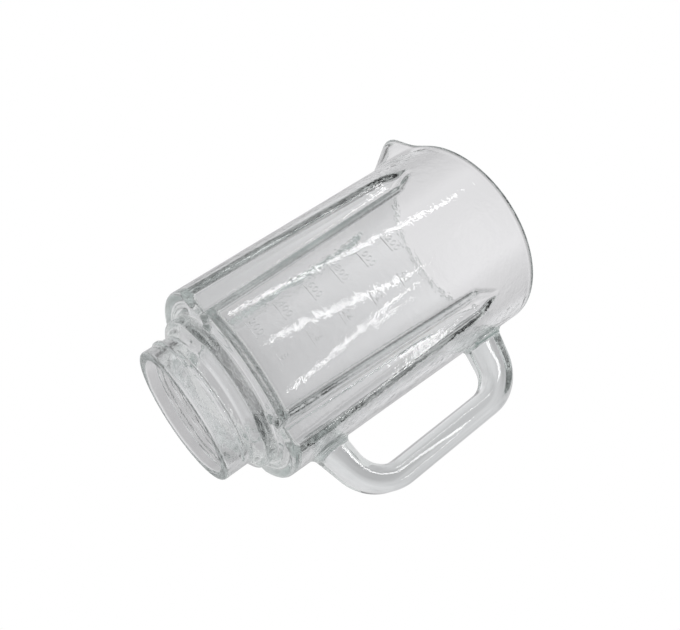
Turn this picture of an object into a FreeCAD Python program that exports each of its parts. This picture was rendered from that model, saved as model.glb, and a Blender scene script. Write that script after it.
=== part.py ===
import FreeCAD, Part
import math
import os
import Sketcher

# Jar of a kitchen blender, pressed in one piece of clear glass.
# It stands on its neck: the axis is Z, the end face of the neck lies at z = 0, the rim is on top.
# The handle points along +X and the pouring lip along -X. Sizes in millimetres and degrees.

SIZES = {
    # overall
    "jar_height": 225,
    "wall": 5.6,
    # four panels that swell into a round rim
    "panel_reach": 63.3,
    "panel_offset": 10.9,
    "rim_flare": 4.2,
    "rim_round": 1.7,
    # ledge, collar and neck, each set in from the one above
    "ledge_height": 30.4,
    "ledge_width": 13.4,
    "ledge_round": 2.5,
    "collar_height": 22.4,
    "collar_step": 6.9,
    "neck_length": 18.2,
    "neck_wall": 5.9,
    "end_round": 1.6,
    "cove_round": 1.3,
    "throat_round": 3.4,
    # floor between throat and wall
    "shoulder_height": 22.5,
    "floor_ring": 4.3,
    "floor_round": 2.8,
    # four V flutes between the panels, with a rib behind each
    "flute_depth_low": 8.7,
    "flute_depth_high": 6.4,
    "flute_half_angle": 55,
    "flute_drop": 48.4,
    "flute_runout": 14.6,
    "flute_end_rise": 0.6,
    "flute_clearance": 8,
    "flute_overrun": 1,
    # pouring lip
    "lip_reach": 15.8,
    "lip_drop": 27,
    "lip_tip_radius": 16.9,
    "lip_flank_angle": 43.5,
    "lip_wall": 4.7,
    "lip_blend": 5.6,
    "lip_sink": 2.24,
    "lip_root_depth": 3,
    "channel_blend": 3.4,
    "channel_root_depth": 12,
    # handle, from its foot above the ledge to its head below the rim
    "handle_stand": 42,
    "grip_depth": 16.3,
    "grip_width": 23.6,
    "grip_round": 6.2,
    "handle_foot_rise": 20,
    "handle_foot_depth": 21.4,
    "handle_foot_slope": 14.8,
    "handle_foot_sink": 1.68,
    "handle_head_drop": 20.6,
    "handle_head_depth": 23.3,
    "handle_head_slope": 12.7,
    "handle_head_sink": 3.36,
    "hole_foot_step": 9.6,
    "hole_head_step": 15.1,
    "outer_bend": 34.9,
    "hole_bend_low": 19.1,
    "hole_bend_high": 13.5,
    "joint_round": 3.9,
    # thread on the neck
    "thread_pitch": 5.4,
    "thread_depth": 1.5,
    "thread_foot": 3.4,
    "thread_crest": 1.3,
    "thread_start": 7.9,
    "thread_turn": 0.915,
    "thread_last_turn": 0.46,
    "thread_azimuth": 15,
    "thread_sink": 0.5,
}

DERIVED = {
    "collar_top": "=ledge_height + wall / 2",
    "collar_radius": "=panel_reach - ledge_width",
    "neck_radius": "=collar_radius - collar_step",
    "throat_radius": "=neck_radius - neck_wall",
    "panel_curve": "=panel_reach + panel_offset",
    "rim_radius": "=panel_reach + rim_flare",
    "inner_curve": "=panel_curve - wall",
    "inner_rim": "=rim_radius - wall",
    "rim_corner": "=rim_radius * sqrt(0.5)",
    "inner_corner": "=inner_rim * sqrt(0.5)",
    "floor_height": "=ledge_height + wall",
    "shoulder_radius": "=panel_reach - wall - floor_ring",
    "flute_foot": "=ledge_height - flute_overrun",
    "flute_top": "=jar_height - flute_drop",
    "flute_end": "=flute_top + flute_runout",
    "flute_valley_low": "=panel_reach - flute_depth_low",
    "flute_valley_high": "=rim_radius - flute_depth_high",
    "flute_valley_end": "=rim_radius + flute_end_rise",
    "flute_back": "=rim_radius + flute_clearance",
    "rib_foot": "=ledge_height + flute_overrun",
    "rib_tip_low": "=flute_valley_low - wall",
    "rib_tip_high": "=flute_valley_high - wall",
    "rib_tip_end": "=flute_valley_end - wall",
    "flank_slope": "=1 + tan(flute_half_angle * 1 deg) ^ 2",
    "inside_low": "=sqrt(inner_curve ^ 2 - panel_offset ^ 2 / 2) - panel_offset * sqrt(0.5)",
    "widening": "=(flute_top - floor_height) / (jar_height - floor_height)",
    "inside_high": "=inside_low + (inner_rim - inside_low) * widening",
    "rib_span_low": "=sqrt(rib_tip_low ^ 2 - flank_slope * (rib_tip_low ^ 2 - inside_low ^ 2))",
    "rib_span_high": "=sqrt(rib_tip_high ^ 2 - flank_slope * (rib_tip_high ^ 2 - inside_high ^ 2))",
    "rib_back_low": "=rib_tip_low + (rib_span_low - rib_tip_low) / flank_slope + wall / 4",
    "rib_back_high": "=rib_tip_high + (rib_span_high - rib_tip_high) / flank_slope + wall / 4",
    "rib_back_end": "=rib_tip_end + wall / 5",
    "rib_core_low": "=rib_back_low + wall / 2",
    "rib_core_high": "=rib_back_high + wall / 2",
    "rib_core_end": "=rib_back_end + wall / 5",
    "lip_foot": "=jar_height - lip_drop",
    "lip_centre_top": "=rim_radius + lip_reach - lip_tip_radius",
    "lip_centre_foot": "=lip_centre_top - lip_reach - lip_sink",
    "lip_root_top": "=inner_rim - lip_root_depth",
    "lip_root_foot": "=lip_root_top - lip_reach - lip_sink",
    "channel_radius": "=lip_tip_radius - lip_wall",
    "channel_root_top": "=inner_rim - channel_root_depth",
    "channel_root_foot": "=channel_root_top - lip_reach - lip_sink",
    "root_low": "=panel_reach - handle_foot_sink",
    "root_high": "=rim_radius - handle_head_sink",
    "handle_reach": "=rim_radius + handle_stand",
    "handle_foot": "=ledge_height + handle_foot_rise",
    "handle_foot_top": "=handle_foot + handle_foot_depth",
    "handle_outer_low": "=handle_foot + handle_foot_slope",
    "handle_head": "=jar_height - handle_head_drop",
    "handle_head_low": "=handle_head - handle_head_depth",
    "handle_outer_high": "=handle_head - handle_head_slope",
    "hole_reach": "=handle_reach - grip_depth",
    "hole_low": "=handle_outer_low + hole_foot_step",
    "hole_high": "=handle_outer_high - hole_head_step",
    "thread_root": "=neck_radius - thread_sink",
    "thread_crest_radius": "=neck_radius + thread_depth",
    "thread_foot_low": "=thread_start - thread_foot / 2",
    "thread_foot_high": "=thread_start + thread_foot / 2",
    "thread_crest_low": "=thread_start - thread_crest / 2",
    "thread_crest_high": "=thread_start + thread_crest / 2",
}

# How near an edge lies to a named size when a fillet picks its edges.
EXACT = 0.01
CLOSE = 0.1
STRAY = 3

doc = FreeCAD.newDocument("blender_jar")
sheet = doc.addObject("Spreadsheet::Sheet", "Sizes")
for row, (name, value) in enumerate({**SIZES, **DERIVED}.items(), start=1):
    sheet.set("A%d" % row, name)
    sheet.set("B%d" % row, str(value))
    sheet.setAlias("B%d" % row, name)
doc.recompute()

body = doc.addObject("PartDesign::Body", "Jar")
body.Label = "jar"


def size(name):
    """Number that a named cell holds."""
    return float(sheet.get(name))


def new_sketch(name, plane, height=None, turn=0, about=FreeCAD.Vector(0, 0, 1)):
    """Sketch on an origin plane of the body, lifted by a named height and turned."""
    sketch = body.newObject("Sketcher::SketchObject", name)
    origin_plane = [f for f in body.Origin.OriginFeatures if f.Role == plane][0]
    sketch.AttachmentSupport = [(origin_plane, "")]
    sketch.MapMode = "FlatFace"
    if turn:
        sketch.AttachmentOffset = FreeCAD.Placement(FreeCAD.Vector(), FreeCAD.Rotation(about, turn))
    if height:
        sketch.setExpression("AttachmentOffset.Base.z", "Sizes." + height)
        doc.recompute()
    return sketch


def bind(sketch, kind, *args):
    """Dimension in a sketch that follows a named cell, with a sign of its own."""
    *where, name, sign = args
    value = sign * size(name)
    if kind == "Angle":
        value = math.radians(value)
    index = sketch.addConstraint(Sketcher.Constraint(kind, *where, value))
    unit = " * 1 deg" if kind == "Angle" else ""
    sketch.setExpression("Constraints[%d]" % index, ("-" if sign < 0 else "") + "Sizes." + name + unit)


def outline(sketch, corners):
    """Closed outline of straight lines. A corner is a pair of named sizes, where None lies on an axis."""
    points = [FreeCAD.Vector(size(x) if x else 0, size(y) if y else 0, 0) for x, y in corners]
    first = sketch.GeometryCount
    for start, end in zip(points, points[1:] + points[:1]):
        sketch.addGeometry(Part.LineSegment(start, end), False)
    for i, (x, y) in enumerate(corners):
        line = first + i
        before = first + (i - 1) % len(corners)
        sketch.addConstraint(Sketcher.Constraint("Coincident", before, 2, line, 1))
        if x:
            bind(sketch, "DistanceX", -1, 1, line, 1, x, 1)
        else:
            sketch.addConstraint(Sketcher.Constraint("PointOnObject", line, 1, -2))
        if y:
            bind(sketch, "DistanceY", -1, 1, line, 1, y, 1)
        else:
            sketch.addConstraint(Sketcher.Constraint("PointOnObject", line, 1, -1))
    doc.recompute()


def quarters(sketch, radius, offset=None, corner=None):
    """Ring of four equal arcs that meet on the diagonals.

    With an offset each arc's centre lies that far behind the axis, so the ring has four flat
    lobes. With a corner the arcs share the axis, and the ring is round.
    """
    r = size(radius)
    off = size(offset) if offset else 0
    half = math.pi / 4 - math.asin(off * math.sqrt(0.5) / r)
    for i in range(4):
        turn = i * math.pi / 2
        centre = FreeCAD.Vector(-off * math.cos(turn), -off * math.sin(turn), 0)
        circle = Part.Circle(centre, FreeCAD.Vector(0, 0, 1), r)
        sketch.addGeometry(Part.ArcOfCircle(circle, turn - half, turn + half), False)
    for i in range(4):
        sketch.addConstraint(Sketcher.Constraint("Coincident", i, 2, (i + 1) % 4, 1))
    if offset:
        for i in range(4):
            sketch.addConstraint(Sketcher.Constraint("PointOnObject", i, 3, -2 if i % 2 else -1))
            bind(sketch, "Radius", i, radius, 1)
            bind(sketch, "DistanceY" if i % 2 else "DistanceX", -1, 1, i, 3, offset, -1 if i < 2 else 1)
    else:
        for i in range(4):
            sketch.addConstraint(Sketcher.Constraint("Coincident", i, 3, -1, 1))
        bind(sketch, "Radius", 0, radius, 1)
        for i in (0, 2):
            side = 1 if i == 0 else -1
            bind(sketch, "DistanceY", -1, 1, i, 1, corner, -side)
            bind(sketch, "DistanceY", -1, 1, i, 2, corner, side)
    doc.recompute()


def wedge(sketch, tip, back, core=None):
    """V section on the first diagonal, its point towards the axis at a named radius.

    The flanks run out to the back. With a core the back is a shallow V of its own.
    """
    flank = math.radians(size("flute_half_angle"))
    wide = (size(back) - size(tip)) * math.tan(flank)
    corners = [(size(tip), 0), (size(back), wide), (size(back), -wide)]
    if core:
        corners.insert(2, (size(core), 0))
    points = [FreeCAD.Vector(x, y, 0) for x, y in corners]
    last = len(points) - 1
    for start, end in zip(points, points[1:] + points[:1]):
        sketch.addGeometry(Part.LineSegment(start, end), False)
    for i in range(len(points)):
        sketch.addConstraint(Sketcher.Constraint("Coincident", i, 2, (i + 1) % len(points), 1))
    sketch.addConstraint(Sketcher.Constraint("PointOnObject", 0, 1, -1))
    sketch.addConstraint(Sketcher.Constraint("Symmetric", 0, 2, last, 1, -1))
    bind(sketch, "DistanceX", -1, 1, 0, 1, tip, 1)
    bind(sketch, "DistanceX", -1, 1, 0, 2, back, 1)
    bind(sketch, "Angle", -1, 1, 0, 1, "flute_half_angle", 1)
    if core:
        sketch.addConstraint(Sketcher.Constraint("PointOnObject", 1, 2, -1))
        bind(sketch, "DistanceX", -1, 1, 1, 2, core, 1)
    doc.recompute()


def lip_section(sketch, centre, root, radius):
    """Rounded point towards -X, with straight flanks back to a chord at the root."""
    angle = math.radians(size("lip_flank_angle"))
    r = size(radius)
    mid = FreeCAD.Vector(-size(centre), 0, 0)
    lean = math.pi / 2 - angle
    touch = FreeCAD.Vector(-r * math.cos(lean), r * math.sin(lean), 0)
    run = (size(centre) - size(root) + r * math.cos(lean)) / math.cos(angle)
    wide = r * math.sin(lean) + run * math.sin(angle)
    high = mid + touch
    low = mid + FreeCAD.Vector(touch.x, -touch.y, 0)
    root_high = FreeCAD.Vector(-size(root), wide, 0)
    root_low = FreeCAD.Vector(-size(root), -wide, 0)
    circle = Part.Circle(mid, FreeCAD.Vector(0, 0, 1), r)
    sketch.addGeometry(Part.ArcOfCircle(circle, math.pi - lean, math.pi + lean), False)
    sketch.addGeometry(Part.LineSegment(low, root_low), False)
    sketch.addGeometry(Part.LineSegment(root_low, root_high), False)
    sketch.addGeometry(Part.LineSegment(root_high, high), False)
    sketch.addConstraint(Sketcher.Constraint("Tangent", 0, 2, 1, 1))
    sketch.addConstraint(Sketcher.Constraint("Coincident", 1, 2, 2, 1))
    sketch.addConstraint(Sketcher.Constraint("Coincident", 2, 2, 3, 1))
    sketch.addConstraint(Sketcher.Constraint("Tangent", 3, 2, 0, 1))
    sketch.addConstraint(Sketcher.Constraint("PointOnObject", 0, 3, -1))
    sketch.addConstraint(Sketcher.Constraint("Symmetric", 2, 1, 2, 2, -1))
    bind(sketch, "Radius", 0, radius, 1)
    bind(sketch, "DistanceX", -1, 1, 0, 3, centre, -1)
    bind(sketch, "DistanceX", -1, 1, 2, 1, root, -1)
    bind(sketch, "Angle", -1, 1, 3, 2, "lip_flank_angle", 1)
    doc.recompute()


def solid_feature(kind, name, profile, **settings):
    """Feature of the body from a sketch, recomputed at once."""
    feature = body.newObject("PartDesign::" + kind, name)
    feature.Profile = profile
    feature.Refine = False
    for key, value in settings.items():
        setattr(feature, key, value)
    profile.Visibility = False
    doc.recompute()
    if not feature.isValid():
        raise RuntimeError(name + " did not build")
    return feature


def loft(kind, name, sections):
    """Ruled loft through sketches, from the lowest to the highest."""
    return solid_feature(kind, name, sections[0], Sections=sections[1:], Ruled=True)


def around(name, feature):
    """The feature repeated on all four diagonals."""
    pattern = body.newObject("PartDesign::PolarPattern", name)
    pattern.Originals = [feature]
    pattern.Axis = ([f for f in body.Origin.OriginFeatures if f.Role == "Z_Axis"][0], [""])
    pattern.Angle = 360
    pattern.Occurrences = 4
    pattern.Refine = False
    body.Tip = pattern
    doc.recompute()
    if not pattern.isValid():
        raise RuntimeError(name + " did not build")
    return pattern


def rounded(name, base, radius, chosen):
    """Fillet with a named radius on the edges of the base that a test picks."""
    edges = ["Edge%d" % (i + 1) for i, edge in enumerate(base.Shape.Edges) if chosen(edge)]
    fillet = body.newObject("PartDesign::Fillet", name)
    fillet.Base = (base, edges)
    fillet.Refine = False
    fillet.setExpression("Radius", "Sizes." + radius)
    doc.recompute()
    if not edges or not fillet.isValid():
        raise RuntimeError(name + " did not build")
    return fillet


def lies_at(edge, height, reach=None, within=None):
    """Whether an edge lies flat at a height, beyond one radius and within another."""
    box = edge.BoundBox
    flat = abs(box.ZMin - height) < EXACT and abs(box.ZMax - height) < EXACT
    radii = [math.hypot(v.Point.x, v.Point.y) for v in edge.Vertexes]
    beyond = reach is None or min(radii) > reach
    inside = within is None or max(radii) < within
    return flat and beyond and inside


# Neck, cove and collar, turned as one solid up into the floor of the jar.
neck_sketch = new_sketch("NeckProfile", "XZ_Plane")
outline(neck_sketch, [
    (None, None),
    ("neck_radius", None),
    ("neck_radius", "neck_length"),
    ("collar_radius", "collar_height"),
    ("collar_radius", "collar_top"),
    (None, "collar_top"),
])
neck = solid_feature("Revolution", "Neck", neck_sketch,
                     ReferenceAxis=(neck_sketch, ["V_Axis"]), Angle=360)

cove = rounded("CoveRound", neck, "cove_round", lambda e: lies_at(e, size("neck_length")))
collar = rounded("CollarRound", cove, "end_round", lambda e: lies_at(e, size("collar_height")))
neck_end = rounded("NeckEnd", collar, "end_round", lambda e: lies_at(e, 0))

# Thread on the neck: two ridges, each short of a full turn, so none crosses the mould line.
RIDGES = (("ThreadLow", None, "thread_turn"), ("ThreadHigh", "thread_pitch", "thread_last_turn"))
for name, lift, turns in RIDGES:
    ridge_sketch = new_sketch(name + "Section", "XZ_Plane", None,
                              size("thread_azimuth"), FreeCAD.Vector(0, 1, 0))
    if lift:
        ridge_sketch.setExpression("AttachmentOffset.Base.y", "Sizes." + lift)
    outline(ridge_sketch, [
        ("thread_root", "thread_foot_low"),
        ("thread_crest_radius", "thread_crest_low"),
        ("thread_crest_radius", "thread_crest_high"),
        ("thread_root", "thread_foot_high"),
    ])
    ridge = solid_feature("AdditiveHelix", name, ridge_sketch, ReferenceAxis=(ridge_sketch, ["V_Axis"]),
                          Mode="pitch-turns-angle")
    ridge.setExpression("Pitch", "Sizes.thread_pitch")
    ridge.setExpression("Turns", "Sizes." + turns)
    doc.recompute()

# Barrel: four flat lobes on the ledge swell into the round rim.
lobes = new_sketch("LobesAtLedge", "XY_Plane", "ledge_height")
quarters(lobes, "panel_curve", offset="panel_offset")
ring = new_sketch("RingAtRim", "XY_Plane", "jar_height")
quarters(ring, "rim_radius", corner="rim_corner")
barrel = loft("AdditiveLoft", "Barrel", [lobes, ring])
ledge = rounded("LedgeRound", barrel, "ledge_round",
                lambda e: lies_at(e, size("ledge_height"), size("collar_radius") + STRAY))

# Pouring lip: a rounded point that leans outwards until it meets the rim.
lip_low = new_sketch("LipAtFoot", "XY_Plane", "lip_foot")
lip_section(lip_low, "lip_centre_foot", "lip_root_foot", "lip_tip_radius")
lip_high = new_sketch("LipAtRim", "XY_Plane", "jar_height")
lip_section(lip_high, "lip_centre_top", "lip_root_top", "lip_tip_radius")
lip = loft("AdditiveLoft", "Lip", [lip_low, lip_high])

# Throat through the neck and the sloping shoulder above it.
throat_sketch = new_sketch("ThroatProfile", "XZ_Plane")
outline(throat_sketch, [
    (None, None),
    ("throat_radius", None),
    ("throat_radius", "shoulder_height"),
    ("shoulder_radius", "floor_height"),
    (None, "floor_height"),
])
throat = solid_feature("Groove", "Throat", throat_sketch,
                       ReferenceAxis=(throat_sketch, ["V_Axis"]), Angle=360)

# Hollow of the jar, one wall inside the lobes.
hollow_low = new_sketch("HollowAtFloor", "XY_Plane", "floor_height")
quarters(hollow_low, "inner_curve", offset="panel_offset")
hollow_high = new_sketch("HollowAtRim", "XY_Plane", "jar_height")
quarters(hollow_high, "inner_rim", corner="inner_corner")
hollow = loft("SubtractiveLoft", "Hollow", [hollow_low, hollow_high])
floor = rounded("FloorRound", hollow, "floor_round",
                lambda e: lies_at(e, size("floor_height"), size("shoulder_radius") + STRAY))

# Channel of the lip.
channel_low = new_sketch("ChannelAtFoot", "XY_Plane", "lip_foot")
lip_section(channel_low, "lip_centre_foot", "channel_root_foot", "channel_radius")
channel_high = new_sketch("ChannelAtRim", "XY_Plane", "jar_height")
lip_section(channel_high, "lip_centre_top", "channel_root_top", "channel_radius")
channel = loft("SubtractiveLoft", "Channel", [channel_low, channel_high])

# Ribs inside the hollow, then the flutes that they follow.
rib_sections = []
for level, height in (("low", "rib_foot"), ("high", "flute_top"), ("end", "flute_end")):
    section = new_sketch("RibSection" + level.title(), "XY_Plane", height, 45)
    wedge(section, "rib_tip_" + level, "rib_back_" + level, "rib_core_" + level)
    rib_sections.append(section)
rib = loft("AdditiveLoft", "Rib", rib_sections)
ribs = around("Ribs", rib)
flute_sections = []
for level, height in (("low", "flute_foot"), ("high", "flute_top"), ("end", "flute_end")):
    section = new_sketch("FluteSection" + level.title(), "XY_Plane", height, 45)
    wedge(section, "flute_valley_" + level, "flute_back")
    flute_sections.append(section)
flute = loft("SubtractiveLoft", "Flute", flute_sections)
flutes = around("Flutes", flute)


def blends_lip(edge, inner, outer):
    """Whether an edge joins the lip to the wall, between two radii."""
    box = edge.BoundBox
    radii = [math.hypot(v.Point.x, v.Point.y) for v in edge.Vertexes]
    rises = box.ZMin < size("jar_height") - CLOSE
    return rises and box.ZMin > size("lip_foot") and box.XMax < -size("rim_radius") / 2 \
        and inner < min(radii) and max(radii) < outer


# The lip flows out of the wall, and its channel out of the hollow.
lip_blend = rounded("LipBlend", flutes, "lip_blend",
                    lambda e: blends_lip(e, size("inner_rim") + size("wall") / 2, size("rim_radius") + CLOSE))
channel_blend = rounded("ChannelBlend", lip_blend, "channel_blend",
                        lambda e: blends_lip(e, 0, size("inner_rim") + CLOSE))

# Fire-polished rim, round the mouth and the lip.
rim = rounded("RimRound", channel_blend, "rim_round", lambda e: lies_at(e, size("jar_height")))

# Mouth of the throat, above and below, and the corner between collar and ledge.
end = rounded("ThroatEnd", rim, "end_round", lambda e: lies_at(e, 0, 0, size("throat_radius") + STRAY))
corner = rounded("LedgeCorner", end, "end_round",
                 lambda e: lies_at(e, size("ledge_height"), 0, size("collar_radius") + STRAY))
mouth = rounded("ThroatRound", corner, "throat_round",
                lambda e: lies_at(e, size("shoulder_height"), 0, size("throat_radius") + STRAY))

# Handle: a closed side view, given its width, then its bends and its soft long edges.
handle_sketch = new_sketch("HandleSide", "XZ_Plane")
outline(handle_sketch, [
    ("root_low", "handle_foot"),
    ("handle_reach", "handle_outer_low"),
    ("handle_reach", "handle_outer_high"),
    ("root_high", "handle_head"),
    ("root_high", "handle_head_low"),
    ("hole_reach", "hole_high"),
    ("hole_reach", "hole_low"),
    ("root_low", "handle_foot_top"),
])
handle = solid_feature("Pad", "Handle", handle_sketch, SideType="Symmetric")
handle.setExpression("Length", "Sizes.grip_width")
doc.recompute()


def is_bend(edge, reach, height):
    """Whether an edge runs straight across the handle at a named reach and height."""
    box = edge.BoundBox
    across = box.YLength > size("grip_width") - STRAY
    return across and abs(box.XMin - size(reach)) < EXACT and abs(box.ZMin - size(height)) < EXACT


def is_long_edge(edge):
    """Whether an edge runs along a side face of the handle, clear of the jar's wall."""
    box = edge.BoundBox
    side = abs(abs(box.YMin) - size("grip_width") / 2) < EXACT and box.YLength < EXACT
    return side and box.XMax > size("rim_radius") + STRAY


def is_joint(edge):
    """Whether an edge is part of the ring where the handle meets the wall."""
    box = edge.BoundBox
    narrow = max(abs(box.YMin), abs(box.YMax)) < size("grip_width") / 2 + CLOSE
    at_wall = size("panel_reach") - STRAY < box.XMin and box.XMax < size("rim_radius") + STRAY
    return narrow and at_wall and size("handle_foot") - STRAY < box.ZMin \
        and box.ZMax < size("handle_head") + STRAY


outer = rounded("OuterBends", handle, "outer_bend",
                lambda e: is_bend(e, "handle_reach", "handle_outer_low")
                or is_bend(e, "handle_reach", "handle_outer_high"))
inner_low = rounded("HoleBendLow", outer, "hole_bend_low",
                    lambda e: is_bend(e, "hole_reach", "hole_low"))
inner_high = rounded("HoleBendHigh", inner_low, "hole_bend_high",
                     lambda e: is_bend(e, "hole_reach", "hole_high"))
grip = rounded("GripRound", inner_high, "grip_round", is_long_edge)
joint = rounded("JointRound", grip, "joint_round", is_joint)

doc.recompute()
bad = [o.Name for o in doc.Objects if "Invalid" in o.State or "Error" in o.State]
shape = body.Shape
if bad or shape.isNull() or not shape.isValid() or len(shape.Solids) != 1:
    raise RuntimeError("the jar did not build cleanly: %s" % bad)
os.makedirs("parts", exist_ok=True)
shape.exportStep("parts/jar.step")
print("jar %.2f cm3" % (shape.Volume / 1000))
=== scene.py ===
import logging
import math
from dataclasses import dataclass, field
from enum import Enum
from typing import NamedTuple

import bmesh
import bpy
from mathutils import Matrix, Vector


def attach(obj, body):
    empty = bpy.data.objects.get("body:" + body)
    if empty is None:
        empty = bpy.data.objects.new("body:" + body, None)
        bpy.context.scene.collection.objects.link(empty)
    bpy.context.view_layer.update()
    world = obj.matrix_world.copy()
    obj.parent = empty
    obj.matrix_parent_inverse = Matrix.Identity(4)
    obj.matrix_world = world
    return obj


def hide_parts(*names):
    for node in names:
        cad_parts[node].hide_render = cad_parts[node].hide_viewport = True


# Looks of a blender jar that is pressed in one piece of clear glass.
# The jar's axis is Z and its neck stands at z = 0. The handle is towards +X, the lip towards -X,
# and the graduated panel faces -Y. Lengths are metres. Angles are degrees, unless a line says radians.

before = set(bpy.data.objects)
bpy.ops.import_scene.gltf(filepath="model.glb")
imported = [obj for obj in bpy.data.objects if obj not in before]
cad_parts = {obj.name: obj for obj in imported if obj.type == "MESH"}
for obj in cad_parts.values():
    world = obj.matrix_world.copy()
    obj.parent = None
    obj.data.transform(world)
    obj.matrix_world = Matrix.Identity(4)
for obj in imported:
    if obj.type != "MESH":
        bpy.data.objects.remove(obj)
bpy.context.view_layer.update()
MM = 0.001
PANEL_ANGLE = 90.0
DIAGONAL = 45.0
LIP_AZIMUTH = 180.0
log = logging.getLogger("blender_jar")

Pair = tuple[float, float]
Place = tuple[float, float, float]
Colour = tuple[float, float, float, float]


def between(low: float, high: float, share: float) -> float:
    """Value that lies a share of the way from low to high."""
    return low + (high - low) * share


def held(value: float, low: float = 0.0, high: float = 1.0) -> float:
    """Value, kept between two limits."""
    return min(max(value, low), high)


def ease(value: float, low: float, high: float) -> float:
    """Share from 0 to 1 of the way from low to high, slow at both ends."""
    share = held((value - low) / (high - low))
    return share * share * (3 - 2 * share)


def smooth_min(first: float, second: float, reach: float) -> float:
    """Smaller of two lengths, with a soft change-over.

    Args:
        first: One length.
        second: The other length.
        reach: Difference below which the two blend.

    Returns:
        The blended length.
    """
    overlap = max(reach - abs(first - second), 0.0) / reach
    return min(first, second) - overlap * overlap * reach / 4


def smooth_max(first: float, second: float, reach: float) -> float:
    """Larger of two lengths, with a soft change-over. See smooth_min."""
    return -smooth_min(-first, -second, reach)


def off_panel(azimuth: float) -> float:
    """Angle from the middle of the nearest panel."""
    return (azimuth + DIAGONAL) % PANEL_ANGLE - DIAGONAL


def off_diagonal(azimuth: float) -> float:
    """Angle from the nearest diagonal, where a flute runs."""
    return azimuth % PANEL_ANGLE - DIAGONAL


def grey(level: float) -> Colour:
    """Neutral colour of a level from 0 to 1."""
    return (level, level, level, 1.0)


def middle_of(edge: bmesh.types.BMEdge) -> Vector:
    """Middle of an edge."""
    return (edge.verts[0].co + edge.verts[1].co) / 2


def finished(name: str, mesh: bmesh.types.BMesh) -> bpy.types.Object:
    """Puts a finished mesh into an object at the origin, unturned.

    Args:
        name: Name of the object and its mesh.
        mesh: The mesh, which is freed.

    Returns:
        The object, in the scene.
    """
    data = bpy.data.meshes.new(name)
    mesh.to_mesh(data)
    mesh.free()
    piece = bpy.data.objects.new(name, data)
    bpy.context.scene.collection.objects.link(piece)
    return piece


def united(base: bpy.types.Object, parts: list[bpy.types.Object]) -> None:
    """Fuses parts into a base as one closed skin and removes the parts.

    Args:
        base: Piece that takes the others in.
        parts: Pieces that are fused into it.
    """
    group = bpy.data.collections.new("fused_parts")
    bpy.context.scene.collection.children.link(group)
    for part in parts:
        bpy.context.scene.collection.objects.unlink(part)
        group.objects.link(part)
    fuse = base.modifiers.new("fuse", "BOOLEAN")
    fuse.operation = "UNION"
    fuse.solver = "MANIFOLD"
    fuse.operand_type = "COLLECTION"
    fuse.collection = group
    graph = bpy.context.evaluated_depsgraph_get()
    whole = bpy.data.meshes.new_from_object(base.evaluated_get(graph))
    base.modifiers.clear()
    base.data = whole
    for part in parts:
        bpy.data.objects.remove(part)
    bpy.data.collections.remove(group)


class Side(Enum):
    """The two skins of the glass wall."""

    OUTER = "outer"
    INNER = "inner"


@dataclass(frozen=True)
class JarSizes:
    """Sizes of the jar's neck, ledge and wall, in the same steps as in the CAD part."""

    height: float = 225 * MM
    wall: float = 5.6 * MM
    panel_reach: float = 63.3 * MM
    panel_offset: float = 10.9 * MM
    rim_flare: float = 4.2 * MM
    rim_round: float = 1.7 * MM
    ledge_height: float = 30.4 * MM
    ledge_width: float = 13.4 * MM
    ledge_round: float = 2.5 * MM
    collar_height: float = 22.4 * MM
    collar_step: float = 6.9 * MM
    neck_length: float = 18.2 * MM
    neck_wall: float = 5.9 * MM
    end_round: float = 1.6 * MM
    cove_round: float = 1.3 * MM
    throat_round: float = 3.4 * MM
    shoulder_height: float = 22.5 * MM
    floor_ring: float = 4.3 * MM
    floor_round: float = 2.8 * MM

    @property
    def collar_radius(self) -> float:
        """Radius of the collar under the ledge."""
        return self.panel_reach - self.ledge_width

    @property
    def neck_radius(self) -> float:
        """Radius of the neck without its thread."""
        return self.collar_radius - self.collar_step

    @property
    def throat_radius(self) -> float:
        """Radius of the opening through the neck."""
        return self.neck_radius - self.neck_wall

    @property
    def rim_radius(self) -> float:
        """Radius of the round rim."""
        return self.panel_reach + self.rim_flare

    @property
    def shoulder_radius(self) -> float:
        """Radius where the floor stops sloping."""
        return self.panel_reach - self.wall - self.floor_ring

    def inset(self, side: Side) -> float:
        """How far a skin of the wall lies inside the outer one."""
        return self.wall if side is Side.INNER else 0.0


@dataclass(frozen=True)
class Flutes:
    """V flutes on the four diagonals, and the ribs behind them.

    They reach half_width to either side. Their middle line is softened over an angle whose sine is
    valley_round.
    """

    depth_low: float = 8.7 * MM
    depth_high: float = 6.4 * MM
    drop: float = 48.4 * MM
    runout: float = 14.6 * MM
    end_rise: float = 0.6 * MM
    half_angle: float = 55.0
    half_width: float = 30.0
    outer_edge: float = 2.0 * MM
    rib_edge: float = 3.2 * MM
    valley_round: float = 0.012

    def radius(self, off_middle: float, height: float, side: Side, sizes: JarSizes) -> float:
        """Distance from the jar's axis to the flank of the V.

        Args:
            off_middle: Angle from the flute's middle line, in radians.
            height: Height above the neck's end.
            side: Which skin is asked for, the flute's or the rib's.
            sizes: Sizes of the jar.

        Returns:
            The flank's radius.
        """
        foot = sizes.ledge_height
        top = sizes.height - self.drop
        high = sizes.rim_radius - self.depth_high
        if height < top:
            tip = between(sizes.panel_reach - self.depth_low, high, (height - foot) / (top - foot))
        else:
            tip = between(high, sizes.rim_radius + self.end_rise, (height - top) / self.runout)
        lean = math.sin(off_middle)
        lean = math.sqrt(lean * lean + self.valley_round ** 2) - self.valley_round
        spread = math.cos(off_middle) - lean / math.tan(math.radians(self.half_angle))
        return (tip - sizes.inset(side)) / spread


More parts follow.
